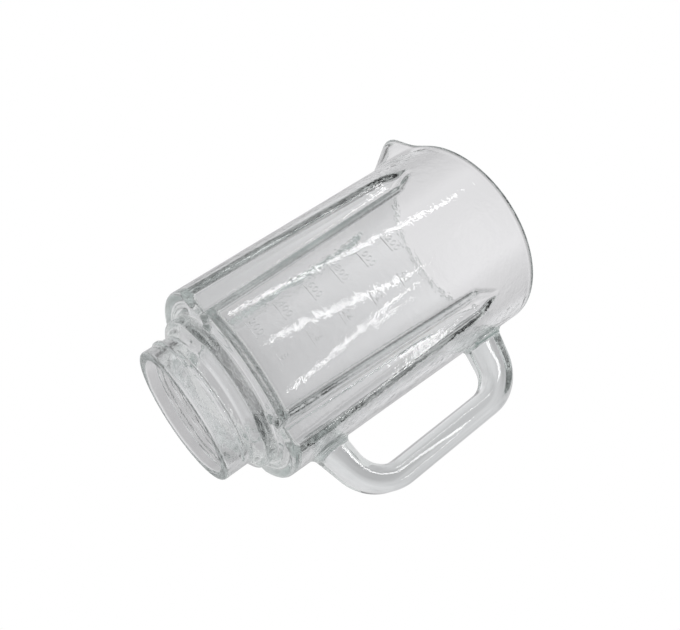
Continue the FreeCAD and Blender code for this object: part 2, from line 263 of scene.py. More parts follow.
@dataclass(frozen=True)
class Lip:
    """Pouring lip: a rounded point that leans out of the wall under the rim.

    It reaches half_width to either side. Further below the rim than buried times its drop, it lies
    hidden in the wall.
    """

    reach: float = 15.8 * MM
    drop: float = 27 * MM
    buried: float = 1.5
    tip_radius: float = 16.9 * MM
    flank_angle: float = 43.5
    half_width: float = 60.0
    wall: float = 4.7 * MM
    sink: float = 2.24 * MM
    blend: float = 4.5 * MM
    channel_blend: float = 3.0 * MM

    def radius(self, off_middle: float, height: float, side: Side, sizes: JarSizes) -> float:
        """Distance from the jar's axis to the lip's flank or point.

        Args:
            off_middle: Angle from the lip's middle line, in radians.
            height: Height above the neck's end.
            side: Which skin of the lip is asked for.
            sizes: Sizes of the jar.

        Returns:
            The lip's radius, small where the lip is buried in the wall.
        """
        if height < sizes.height - self.buried * self.drop:
            return 0.0
        top = sizes.rim_radius + self.reach - self.tip_radius
        lean = (self.reach + self.sink) * (sizes.height - height) / self.drop
        centre = top - lean
        point = self.tip_radius - (self.wall if side is Side.INNER else 0.0)
        flank = math.radians(self.flank_angle)
        touch = math.atan2(point * math.cos(flank), centre + point * math.sin(flank))
        off = min(abs(off_middle), math.pi / 2 - flank)
        if off < touch:
            return centre * math.cos(off) + math.sqrt(point ** 2 - (centre * math.sin(off)) ** 2)
        return (centre * math.sin(flank) + point) / math.sin(flank + off)


@dataclass(frozen=True)
class Thread:
    """Two right-hand ridges round the neck, each short of a full turn."""

    pitch: float = 5.4 * MM
    depth: float = 1.45 * MM
    foot: float = 3.4 * MM
    crest: float = 1.3 * MM
    start: float = 7.9 * MM
    turns: Pair = (0.915, 0.46)
    azimuth: float = 15.0
    fade: float = 9.0

    def rise(self, azimuth: float, height: float) -> float:
        """How far the neck's skin stands out at a place.

        Args:
            azimuth: Angle round the jar's axis.
            height: Height above the neck's end.

        Returns:
            The rise above the plain neck.
        """
        tallest = 0.0
        along = (azimuth - self.azimuth) % 360
        for ridge, turns in enumerate(self.turns):
            middle = self.start + self.pitch * (ridge + along / 360)
            swell = 1 - ease(abs(height - middle), self.crest / 2, self.foot / 2)
            ends = ease(along, 0, self.fade) * (1 - ease(along, turns * 360 - self.fade, turns * 360))
            tallest = max(tallest, self.depth * swell * ends)
        return tallest


class Corner(NamedTuple):
    """Corner of the barrel's outline, with the step that divides the run after it."""

    radius: float
    height: float
    rounding: float
    step: float


@dataclass
class Barrel:
    """Neck, ledge, wall, lip and floor, spun from one closed outline and pressed into shape.

    The columns are gathered towards the flutes. Within rim_hold of the rim the wall keeps one shape, so
    that the rounded rim stays level. What lies further out than the neck's rounded end is held round up
    to collar_zone above the ledge's under side. A side is met with slack, for the mesh's rounding.
    """

    sizes: JarSizes = field(default_factory=JarSizes)
    flutes: Flutes = field(default_factory=Flutes)
    lip: Lip = field(default_factory=Lip)
    thread: Thread = field(default_factory=Thread)
    columns: int = 380
    gather: float = 0.35
    round_steps: int = 5
    thread_step: float = 0.45 * MM
    fine_step: float = 1.5 * MM
    plain_step: float = 7.0 * MM
    fine_height: float = 168 * MM
    rim_hold: float = 2.3 * MM
    slack: float = 0.1 * MM
    collar_zone: float = 1.0 * MM
    merge: float = 0.02 * MM

    def spun_radius(self, height: float, side: Side) -> float:
        """Radius of one skin of the wall before it is pressed.

        Args:
            height: Height above the neck's end.
            side: Which skin is asked for.

        Returns:
            The radius.
        """
        s = self.sizes
        foot = s.ledge_height + s.inset(side)
        share = max((height - foot) / (s.height - foot), 0.0)
        return between(s.panel_reach, s.rim_radius, share) - s.inset(side)

    def corners(self) -> list[Corner]:
        """Corners of the outline, up the outer skin and down the inner one.

        Returns:
            The corners, from the throat's lower end.
        """
        s = self.sizes
        fine, plain = self.fine_step, self.plain_step
        floor = s.ledge_height + s.wall
        return [
            Corner(s.throat_radius, 0.0, s.end_round, plain),
            Corner(s.neck_radius, 0.0, s.end_round, self.thread_step),
            Corner(s.neck_radius, s.neck_length, s.cove_round, fine),
            Corner(s.collar_radius, s.collar_height, s.end_round, plain),
            Corner(s.collar_radius, s.ledge_height, s.end_round, fine),
            Corner(s.panel_reach, s.ledge_height, s.ledge_round, plain),
            Corner(self.spun_radius(self.fine_height, Side.OUTER), self.fine_height, 0.0, fine),
            Corner(s.rim_radius, s.height, s.rim_round, fine),
            Corner(s.rim_radius - s.wall, s.height, s.rim_round, fine),
            Corner(self.spun_radius(self.fine_height, Side.INNER), self.fine_height, 0.0, plain),
            Corner(s.panel_reach - s.wall, floor, s.floor_round, fine),
            Corner(s.shoulder_radius, floor, s.floor_round, fine),
            Corner(s.throat_radius, s.shoulder_height, s.throat_round, plain),
        ]

    def outline(self, mesh: bmesh.types.BMesh) -> None:
        """Draws the closed outline in the XZ plane, rounds its corners and divides its runs.

        Args:
            mesh: Empty mesh that the outline goes into.
        """
        corners = self.corners()
        points = [mesh.verts.new((corner.radius, 0.0, corner.height)) for corner in corners]
        runs = []
        for index, corner in enumerate(corners):
            edge = mesh.edges.new((points[index], points[(index + 1) % len(points)]))
            runs.append((middle_of(edge), corner.step))
        for index, corner in enumerate(corners):
            before = Vector(corners[index - 1][:2]) - Vector(corner[:2])
            after = Vector(corners[(index + 1) % len(corners)][:2]) - Vector(corner[:2])
            offset = corner.rounding / math.tan(before.angle(after) / 2)
            if offset > 0:
                bmesh.ops.bevel(mesh, geom=[points[index]], offset=offset, offset_type="OFFSET",
                                affect="VERTICES", segments=self.round_steps, profile=0.5, material=-1)
        for middle, step in runs:
            edge = min(mesh.edges, key=lambda run: (middle_of(run) - middle).length)
            cuts = round(edge.calc_length() / step) - 1
            if cuts > 0:
                bmesh.ops.subdivide_edges(mesh, edges=[edge], cuts=cuts)

    def skin_radius(self, azimuth: float, height: float, side: Side) -> float:
        """Radius of one skin of the wall, with its lobes, flutes and lip.

        Args:
            azimuth: Angle round the jar's axis.
            height: Height above the neck's end.
            side: Which skin is asked for.

        Returns:
            The radius.
        """
        s = self.sizes
        foot = s.ledge_height + s.inset(side)
        share = held((height - foot) / (s.height - foot))
        off = math.radians(off_panel(azimuth))
        curve = s.panel_reach + s.panel_offset - s.inset(side)
        quarter = math.radians(DIAGONAL)
        bend = off * (1 - math.asin(s.panel_offset * math.sin(quarter) / curve) / quarter)
        rim = s.rim_radius - s.inset(side)
        across = between(curve * math.cos(bend) - s.panel_offset, rim * math.cos(off), share)
        along = between(curve * math.sin(bend), rim * math.sin(off), share)
        radius = math.hypot(across, along)
        if abs(off_diagonal(azimuth)) < self.flutes.half_width:
            flank = self.flutes.radius(math.radians(off_diagonal(azimuth)), height, side, s)
            edge = self.flutes.rib_edge if side is Side.INNER else self.flutes.outer_edge
            radius = smooth_min(radius, flank, edge)
        if abs(azimuth - LIP_AZIMUTH) < self.lip.half_width:
            point = self.lip.radius(math.radians(azimuth - LIP_AZIMUTH), height, side, s)
            blend = self.lip.channel_blend if side is Side.INNER else self.lip.blend
            radius = smooth_max(radius, point, blend)
        return radius

    def pressed(self, place: Vector) -> Vector:
        """Where a point of the spun shape lies once the glass is pressed.

        Args:
            place: Point of the spun shape.

        Returns:
            The point on the jar.
        """
        s = self.sizes
        radius = math.hypot(place.x, place.y)
        turn = math.degrees(math.atan2(place.y, place.x)) % 360
        off = off_panel(turn) / DIAGONAL
        azimuth = turn + DIAGONAL * self.gather * (off - off ** 3)
        height = min(place.z, s.height - self.rim_hold)
        outer = self.spun_radius(height, Side.OUTER)
        inner = self.spun_radius(height, Side.INNER)
        through = held((radius - inner) / (outer - inner))
        moved_out = self.skin_radius(azimuth, height, Side.OUTER) - outer
        moved_in = self.skin_radius(azimuth, height, Side.INNER) - inner
        if place.z < s.ledge_height + s.ledge_round / 2 and radius > s.collar_radius - self.slack:
            # Under side of the ledge: it follows the wall and leaves the collar round.
            still = s.collar_radius + s.end_round
            radius += moved_out * held((radius - still) / (outer - still))
        elif place.z < s.ledge_height + self.collar_zone and radius > s.neck_radius - s.end_round:
            # Neck, collar and the floor's ring above them: they stay round, and the neck takes its thread.
            if place.z < s.neck_length and radius > s.neck_radius - self.slack:
                radius += self.thread.rise(azimuth, place.z)
        elif through > 0:
            # Wall: both skins are pressed, and what lies between them moves along.
            radius += between(moved_in, moved_out, through)
        else:
            # Floor, outside that ring and inside it: it follows the wall's inner skin, less towards the
            # throat, which stays round.
            radius += moved_in * max((radius - s.throat_radius) / (inner - s.throat_radius), 0.0)
        angle = math.radians(azimuth)
        return Vector((radius * math.cos(angle), radius * math.sin(angle), place.z))

    def build(self) -> bpy.types.Object:
        """Spins the outline and presses it.

        Returns:
            The closed barrel.
        """
        mesh = bmesh.new()
        self.outline(mesh)
        bmesh.ops.spin(mesh, geom=mesh.verts[:] + mesh.edges[:], cent=(0, 0, 0), axis=(0, 0, 1),
                       angle=math.radians(360), steps=self.columns, use_merge=True)
        bmesh.ops.remove_doubles(mesh, verts=mesh.verts[:], dist=self.merge)
        for vertex in mesh.verts:
            vertex.co = self.pressed(vertex.co)
        bmesh.ops.recalc_face_normals(mesh, faces=mesh.faces[:])
        return finished("jar_barrel", mesh)


class Bend(NamedTuple):
    """Arc that joins two runs of a path, and the angle that it turns through, in radians."""

    start: Vector
    end: Vector
    centre: Vector
    turn: float

    def at(self, share: float) -> Vector:
        """Point at a share of the way round the arc."""
        return self.centre + Matrix.Rotation(-self.turn * share, 2) @ (self.start - self.centre)


@dataclass(frozen=True)
class BentPath:
    """Path of three straight runs joined by two bends, in the XZ plane.

    The marks are the shares of the way at which the bends start and end.
    """

    points: tuple[Pair, Pair, Pair, Pair]
    bends: Pair
    marks: tuple[float, float, float, float]

    def bend_at(self, index: int) -> Bend:
        """Bend between two of the runs.

        Args:
            index: 0 for the first bend, 1 for the second.

        Returns:
            The bend.
        """
        before, corner, after = (Vector(self.points[index + step]) for step in range(3))
        arrive = (corner - before).normalized()
        leave = (after - corner).normalized()
        turn = arrive.angle_signed(leave)
        reach = self.bends[index] * math.tan(abs(turn) / 2)
        start = corner - arrive * reach
        sideways = Vector((arrive.y, -arrive.x)) * math.copysign(1, turn)
        return Bend(start, corner + leave * reach, start + sideways * self.bends[index], turn)

    def at(self, share: float) -> Vector:
        """Point on the path.

        Args:
            share: Share of the way along the path.

        Returns:
            The point, as its X and Z.
        """
        low, high = self.bend_at(0), self.bend_at(1)
        low_start, low_end, high_start, high_end = self.marks
        if share < low_start:
            return Vector(self.points[0]).lerp(low.start, share / low_start)
        if share < low_end:
            return low.at((share - low_start) / (low_end - low_start))
        if share < high_start:
            return low.end.lerp(high.start, (share - low_end) / (high_start - low_end))
        if share < high_end:
            return high.at((share - high_start) / (high_end - high_start))
        return high.end.lerp(Vector(self.points[3]), (share - high_end) / (1 - high_end))


@dataclass
class Handle:
    """D handle: a strap with soft edges that flares where it joins the wall.

    The flare stops growing where the strap's skin is flare_limit times the flare off the wall.
    """

    jar: Barrel
    stand: float = 42 * MM
    depth: float = 16.3 * MM
    width: float = 23.6 * MM
    edge_round: float = 6.2 * MM
    foot_rise: float = 20 * MM
    foot_depth: float = 21.4 * MM
    foot_slope: float = 14.8 * MM
    foot_sink: float = 3.1 * MM
    head_drop: float = 20.6 * MM
    head_depth: float = 23.3 * MM
    head_slope: float = 12.7 * MM
    head_sink: float = 4.9 * MM
    hole_foot_step: float = 9.6 * MM
    hole_head_step: float = 15.1 * MM
    outer_bend: float = 34.9 * MM
    inner_bends: Pair = (19.1 * MM, 13.5 * MM)
    bend_marks: tuple[float, float, float, float] = (0.17, 0.33, 0.67, 0.83)
    flare: float = 3.6 * MM
    flare_limit: float = 0.07
    segments: int = 44
    stations: int = 150

    def paths(self) -> tuple[BentPath, BentPath]:
        """The strap's outer and inner line, divided alike.

        Returns:
            The two lines, from the foot to the head.
        """
        s = self.jar.sizes
        reach = s.rim_radius + self.stand
        hole = reach - self.depth
        root_low, root_high = s.panel_reach - self.foot_sink, s.rim_radius - self.head_sink
        foot, head = s.ledge_height + self.foot_rise, s.height - self.head_drop
        low, high = foot + self.foot_slope, head - self.head_slope
        outer = ((root_low, foot), (reach, low), (reach, high), (root_high, head))
        inner = ((root_low, foot + self.foot_depth), (hole, low + self.hole_foot_step),
                 (hole, high - self.hole_head_step), (root_high, head - self.head_depth))
        return (BentPath(outer, (self.outer_bend, self.outer_bend), self.bend_marks),
                BentPath(inner, self.inner_bends, self.bend_marks))

    def flared(self, place: Vector) -> float:
        """How far the strap's skin stands off near the wall.

        Args:
            place: Point of the plain strap.

        Returns:
            The distance to add along the skin's own direction.
        """
        azimuth = math.degrees(math.atan2(place.y, place.x)) % 360
        wall = self.jar.skin_radius(azimuth, place.z, Side.OUTER)
        clear = math.hypot(place.x, place.y) - wall
        clear = held(clear, self.flare_limit * self.flare, self.flare)
        return self.flare - math.sqrt(self.flare ** 2 - (self.flare - clear) ** 2)

    @staticmethod
    def placed(middle: Vector, through: Vector, plain: Vector) -> Vector:
        """Point in space of a point of the strap's section.

        Args:
            middle: Middle of the section, as its X and Z.
            through: Direction through the strap, as its X and Z.
            plain: The point, as its distances from the middle through and across the strap.

        Returns:
            The point.
        """
        across = middle + through * plain.x
        return Vector((across.x, plain.y, across.y))

    def build(self) -> bpy.types.Object:
        """Bends a divided tube into the strap.

        Returns:
            The closed strap.
        """
        outer, inner = self.paths()
        mesh = bmesh.new()
        bmesh.ops.create_cone(mesh, cap_ends=True, segments=self.segments, radius1=1, radius2=1, depth=1)
        lengthwise = [edge for edge in mesh.edges if edge.verts[0].co.z * edge.verts[1].co.z < 0]
        bmesh.ops.subdivide_edges(mesh, edges=lengthwise, cuts=self.stations)
        for vertex in mesh.verts:
            share = vertex.co.z + 0.5
            out_point, in_point = outer.at(share), inner.at(share)
            middle = (out_point + in_point) / 2
            through = (out_point - in_point).normalized()
            half = (out_point - in_point).length / 2
            skin = Vector((vertex.co.x, vertex.co.y)).normalized()
            flat = Vector((math.copysign(half - self.edge_round, skin.x),
                           math.copysign(self.width / 2 - self.edge_round, skin.y)))
            plain = flat + skin * self.edge_round
            place = self.placed(middle, through, plain)
            vertex.co = self.placed(middle, through, plain + skin * self.flared(place))
        bmesh.ops.recalc_face_normals(mesh, faces=mesh.faces[:])
        return finished("jar_handle", mesh)


@dataclass(frozen=True)
class Scale:
    """Column of marks: its place round the jar, its lines' length, and its heights and figures."""

    name: str
    azimuth: float
    line: float
    marks: tuple[tuple[float, str], ...]


@dataclass
class Graduations:
    """Moulded marks and plain figures on the panel that faces -Y."""

    jar: Barrel
    proud: float = 0.45 * MM
    sunk: float = 0.5 * MM
    line_width: float = 0.8 * MM
    line_round: float = 0.25 * MM
    line_round_steps: int = 2
    line_parts: int = 6
    figure_size: float = 6.2 * MM
    figure_lift: float = 1.5 * MM
    figure_weight: float = -0.05 * MM
    figure_spacing: float = 1.1
    figure_steps: int = 3
    merge: float = 0.01 * MM
    scales: tuple[Scale, ...] = (
        Scale("litre", 258.6, 10.8 * MM, (
            (42.8 * MM, "200"), (61.9 * MM, "400"), (82.4 * MM, "600"),
            (101.2 * MM, "800"), (119.8 * MM, "1000"), (138.2 * MM, "1200"),
        )),
        Scale("ounce", 277.6, 8.2 * MM, (
            (46.1 * MM, "8"), (67.5 * MM, "16"), (88.9 * MM, "24"), (110.6 * MM, "32"), (131.8 * MM, "40"),
        )),
    )

    def wrapped(self, piece: bpy.types.Object, azimuth: float, height: float) -> None:
        """Lays a flat piece onto the panel.

        Args:
            piece: Piece whose X runs round the jar, Y up and Z out of the glass.
            azimuth: Angle of the piece's middle round the jar's axis.
            height: Height of the piece's own zero.
        """
        for vertex in piece.data.vertices:
            across, up, out = vertex.co
            level = height + up
            radius = self.jar.skin_radius(azimuth, level, Side.OUTER)
            turn = azimuth + math.degrees(across / radius)
            radius = self.jar.skin_radius(turn, level, Side.OUTER) + out
            angle = math.radians(turn)
            vertex.co = (radius * math.cos(angle), radius * math.sin(angle), level)

    def line(self, name: str, length: float) -> bpy.types.Object:
        """Straight mark with softened edges, divided so that it follows the panel.

        Args:
            name: Name of the mark.
            length: Length of the mark.

        Returns:
            The mark, flat and with its middle at zero.
        """
        mesh = bmesh.new()
        bmesh.ops.create_cube(mesh, size=1)
        thick = self.proud + self.sunk
        bmesh.ops.scale(mesh, vec=(length, self.line_width, thick), verts=mesh.verts[:])
        bmesh.ops.translate(mesh, vec=(0, 0, (self.proud - self.sunk) / 2), verts=mesh.verts[:])
        top = [edge for edge in mesh.edges if all(vertex.co.z > 0 for vertex in edge.verts)]
        bmesh.ops.bevel(mesh, geom=top, offset=self.line_round, offset_type="OFFSET", affect="EDGES",
                        segments=self.line_round_steps, profile=0.5, material=-1)
        for step in range(1, self.line_parts):
            across = length * (step / self.line_parts - 0.5)
            bmesh.ops.bisect_plane(mesh, geom=mesh.verts[:] + mesh.edges[:] + mesh.faces[:],
                                   plane_co=(across, 0, 0), plane_no=(1, 0, 0))
        return finished(name, mesh)

    def figures(self, name: str, text: str) -> bpy.types.Object:
        """Raised figures as a mesh.

        Args:
            name: Name of the piece.
            text: The figures.

        Returns:
            The figures, flat and with the middle of their foot at zero.
        """
        curve = bpy.data.curves.new(name, "FONT")
        curve.body = text
        curve.size = self.figure_size
        curve.align_x = "CENTER"
        curve.extrude = (self.proud + self.sunk) / 2
        curve.offset = self.figure_weight
        curve.space_character = self.figure_spacing
        curve.resolution_u = self.figure_steps
        holder = bpy.data.objects.new(name, curve)
        bpy.context.scene.collection.objects.link(holder)
        graph = bpy.context.evaluated_depsgraph_get()
        data = bpy.data.meshes.new_from_object(holder.evaluated_get(graph))
        bpy.data.objects.remove(holder)
        mesh = bmesh.new()
        mesh.from_mesh(data)
        bmesh.ops.remove_doubles(mesh, verts=mesh.verts[:], dist=self.merge)
        bmesh.ops.translate(mesh, vec=(0, 0, (self.proud - self.sunk) / 2), verts=mesh.verts[:])
        bmesh.ops.recalc_face_normals(mesh, faces=mesh.faces[:])
        return finished(name, mesh)

    def build(self) -> list[bpy.types.Object]:
        """Makes every mark and figure of both scales and lays them on the panel.

        Returns:
            The pieces, sunk into the wall a little.
        """
        parts = []
        for scale in self.scales:
            for height, text in scale.marks:
                line = self.line(f"line_{scale.name}_{text}", scale.line)
                self.wrapped(line, scale.azimuth, height)
                figures = self.figures(f"figures_{scale.name}_{text}", text)
                self.wrapped(figures, scale.azimuth, height + self.figure_lift)
                parts += [line, figures]
        return parts


class NodeSheet:
    """Short way to place and link nodes in a tree."""

    def __init__(self, tree: bpy.types.NodeTree) -> None:
        """Keeps the tree, emptied."""
        self.tree = tree
        tree.nodes.clear()

    def add(self, kind: str, inputs: dict[str | int, object] | None = None,
            **settings: object) -> bpy.types.Node:
        """Places a node.

        Args:
            kind: Blender's name for the node's type.
            inputs: Plain values, or outputs to link, by the name or number of the input.
            settings: Options of the node itself.

        Returns:
            The node.
        """
        node = self.tree.nodes.new(kind)
        for option, value in settings.items():
            setattr(node, option, value)
        for name, value in (inputs or {}).items():
            if isinstance(value, bpy.types.NodeSocket):
                self.tree.links.new(value, node.inputs[name])
            else:
                node.inputs[name].default_value = value
        return node

    def maths(self, operation: str, *values: object) -> bpy.types.NodeSocket:
        """Result of a Math node on plain values or outputs."""
        return self.add("ShaderNodeMath", dict(enumerate(values)), operation=operation).outputs["Value"]

    def ramp(self, value: bpy.types.NodeSocket, given: Pair, wanted: Pair,
             kind: str = "LINEAR") -> bpy.types.NodeSocket:
        """Moves a value from one range to another.

        Args:
            value: Output that is moved.
            given: Range that it comes in.
            wanted: Range that it goes to.
            kind: How the range is crossed, in Blender's word.

        Returns:
            The moved value.
        """
        limits = dict(zip(("From Min", "From Max", "To Min", "To Max"), given + wanted))
        node = self.add("ShaderNodeMapRange", {"Value": value} | limits, interpolation_type=kind)
        return node.outputs["Result"]

    def scaled(self, place: bpy.types.NodeSocket, scale: Place) -> bpy.types.NodeSocket:
        """Coordinates, scaled along each axis."""
        return self.add("ShaderNodeMapping", {"Vector": place, "Scale": scale}).outputs["Vector"]

    def noise(self, place: bpy.types.NodeSocket, scale: object, detail: float) -> bpy.types.NodeSocket:
        """Noise from 0 to 1 at a place."""
        inputs = {"Vector": place, "Scale": scale, "Detail": detail}
        return self.add("ShaderNodeTexNoise", inputs).outputs["Fac"]

    def background(self, colour: object, strength: object) -> bpy.types.NodeSocket:
        """Light that comes from all around."""
        inputs = {"Color": colour, "Strength": strength}
        return self.add("ShaderNodeBackground", inputs).outputs["Background"]

    def mixed(self, share: object, first: object, second: object) -> bpy.types.NodeSocket:
        """Mix of two shaders, where the share is the second one's."""
        return self.add("ShaderNodeMixShader", {0: share, 1: first, 2: second}).outputs["Shader"]


@dataclass(frozen=True)
class PressedGlass:
    """Clear pressed glass: thick, fire-polished, with a faint grey-green cast.

    The handle's skin is smoother than the wall's. A ray that is caught in the glass for more reflections
    than the glow's depth shows a painted glow: grey emission in fine upright lines, stronger towards the
    back of the jar, in place of the light it would meet further on.
    """

    name: str = "pressed_glass"
    tint: Colour = (0.99, 0.993, 0.993, 1.0)
    depth_tint: Colour = (0.70, 0.75, 0.74, 1.0)
    depth_density: float = 20.0
    index: float = 1.5
    ripple_size: float = 7.0 * MM
    ripple_height: float = 0.12 * MM
    ripple_squeeze: Place = (1.0, 1.0, 1.3)
    ripple_detail: float = 2.0
    grain_size: float = 2.1 * MM
    grain_share: float = 0.42
    grain_detail: float = 3.0
    handle_start: float = 66 * MM
    handle_change: float = 8 * MM
    handle_share: float = 0.18
    haze_noise: Pair = (0.35, 0.8)
    haze: Pair = (0.0, 0.025)
    painted_glow_depth: float = 3.5
    painted_glow_scale: Place = (520.0, 520.0, 12.0)
    painted_glow_detail: float = 2.0
    painted_glow_noise: Pair = (0.43, 0.55)
    painted_glow_level: Pair = (0.0, 0.66)
    painted_back_glow_reach: float = 30 * MM
    painted_back_glow_level: float = 0.3

    def skin(self) -> bpy.types.NodeTree:
        """Node group that gives the skin's ripple as a height and its polish as a roughness.

        Returns:
            The group, whose inputs are the scales of ripple and grain.
        """
        group = bpy.data.node_groups.new("pressed_skin", "ShaderNodeTree")
        for name, way in (("Ripple Scale", "INPUT"), ("Grain Scale", "INPUT"),
                          ("Height", "OUTPUT"), ("Roughness", "OUTPUT")):
            group.interface.new_socket(name, in_out=way, socket_type="NodeSocketFloat")
        sheet = NodeSheet(group)
        given = sheet.add("NodeGroupInput").outputs
        place = sheet.add("ShaderNodeTexCoord").outputs["Object"]
        squeezed = sheet.scaled(place, self.ripple_squeeze)
        ripple = sheet.noise(squeezed, given["Ripple Scale"], self.ripple_detail)
        grain = sheet.noise(place, given["Grain Scale"], self.grain_detail)
        relief = sheet.maths("MULTIPLY_ADD", grain, self.grain_share, ripple)
        axes = sheet.add("ShaderNodeSeparateXYZ", {"Vector": place}).outputs
        handle = (self.handle_start, self.handle_start + self.handle_change)
        calm = sheet.ramp(axes["X"], handle, (1.0, self.handle_share))
        sheet.add("NodeGroupOutput", {
            "Height": sheet.maths("MULTIPLY", relief, calm),
            "Roughness": sheet.ramp(grain, self.haze_noise, self.haze),
        })
        return group

    def painted_trapped_glow(self, sheet: NodeSheet) -> bpy.types.NodeSocket:
        """Painted glow that stands in for the light of rays caught in the wall, with more glow painted at
        the back of the jar.

        Args:
            sheet: The glass's node tree.

        Returns:
            Output of the shader.
        """
        place = sheet.add("ShaderNodeTexCoord").outputs["Object"]
        lines = sheet.noise(sheet.scaled(place, self.painted_glow_scale), 1.0, self.painted_glow_detail)
        level = sheet.ramp(lines, self.painted_glow_noise, self.painted_glow_level)
        axes = sheet.add("ShaderNodeSeparateXYZ", {"Vector": place}).outputs
        far = sheet.ramp(axes["Y"], (0.0, self.painted_back_glow_reach), (0.0, self.painted_back_glow_level))
        # Painted glow: grey emission in fine upright lines, stronger towards the back of the jar, in place
        # of real light.
        light = sheet.add("ShaderNodeEmission", {"Strength": sheet.maths("ADD", level, far)})
        return light.outputs["Emission"]

    def build(self) -> bpy.types.Material:
        """Makes the glass.

        Returns:
            The material.
        """
        material = bpy.data.materials.new(self.name)
        material.use_nodes = True
        sheet = NodeSheet(material.node_tree)
        scales = {"Ripple Scale": 1 / self.ripple_size, "Grain Scale": 1 / self.grain_size}
        skin = sheet.add("ShaderNodeGroup", scales, node_tree=self.skin()).outputs
        bump = sheet.add("ShaderNodeBump", {
            "Height": skin["Height"], "Strength": 1.0, "Distance": self.ripple_height,
        })
        glass = sheet.add("ShaderNodeBsdfPrincipled", {
            "Base Color": self.tint, "IOR": self.index, "Metallic": 0.0, "Transmission Weight": 1.0,
            "Roughness": skin["Roughness"], "Normal": bump.outputs["Normal"],
        })
        depth = sheet.add("ShaderNodeVolumeAbsorption", {
            "Color": self.depth_tint, "Density": self.depth_density,
        })
        ray = sheet.add("ShaderNodeLightPath").outputs
        # Rays caught in the glass beyond the glow's depth show the painted glow instead of the glass.
        caught = sheet.maths("GREATER_THAN", ray["Glossy Depth"], self.painted_glow_depth)
        sheet.add("ShaderNodeOutputMaterial", {
            "Surface": sheet.mixed(caught, glass.outputs["BSDF"], self.painted_trapped_glow(sheet)),
            "Volume": depth.outputs["Volume"],
        })
        return material


@dataclass
class Jar:
    """The whole jar as one skin of glass."""

    barrel: Barrel = field(default_factory=Barrel)
    glass: PressedGlass = field(default_factory=PressedGlass)
    crease: float = 32.0
    merge: float = 0.002 * MM

    def cleaned(self, piece: bpy.types.Object) -> None:
        """Merges what the fusing left double and turns every face outwards.

        Args:
            piece: The fused jar.
        """
        mesh = bmesh.new()
        mesh.from_mesh(piece.data)
        bmesh.ops.remove_doubles(mesh, verts=mesh.verts[:], dist=self.merge)
        bmesh.ops.recalc_face_normals(mesh, faces=mesh.faces[:])
        mesh.to_mesh(piece.data)
        mesh.free()

    def build(self) -> bpy.types.Object:
        """Fuses handle and graduations into the barrel and dresses the result.

        Returns:
            The jar.
        """
        piece = self.barrel.build()
        piece.name = "jar_glass"
        parts = [Handle(self.barrel).build()] + Graduations(self.barrel).build()
        united(piece, parts)
        self.cleaned(piece)
        piece.data.materials.clear()
        piece.data.materials.append(self.glass.build())
        piece.data.shade_smooth()
        piece.data.set_sharp_from_angle(angle=math.radians(self.crease))
        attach(piece, "root")
        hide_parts("jar")
        return piece


@dataclass(frozen=True)
class PaleFloor:
    """Plain pale floor that is seen from above only."""

    name: str = "pale_floor"
    level: float = 0.86
    roughness: float = 0.9

    def build(self) -> bpy.types.Material:
        """Makes the floor's finish, matt on top and clear from below.

        Returns:
            The material.
        """
        material = bpy.data.materials.new(self.name)
        material.use_nodes = True
        sheet = NodeSheet(material.node_tree)
        matt = sheet.add("ShaderNodeBsdfPrincipled", {
            "Base Color": grey(self.level), "Roughness": self.roughness,
        })
        clear = sheet.add("ShaderNodeBsdfTransparent")
        below = sheet.add("ShaderNodeNewGeometry").outputs["Backfacing"]
        surface = sheet.mixed(below, matt.outputs["BSDF"], clear.outputs["BSDF"])
        sheet.add("ShaderNodeOutputMaterial", {"Surface": surface})
        return material


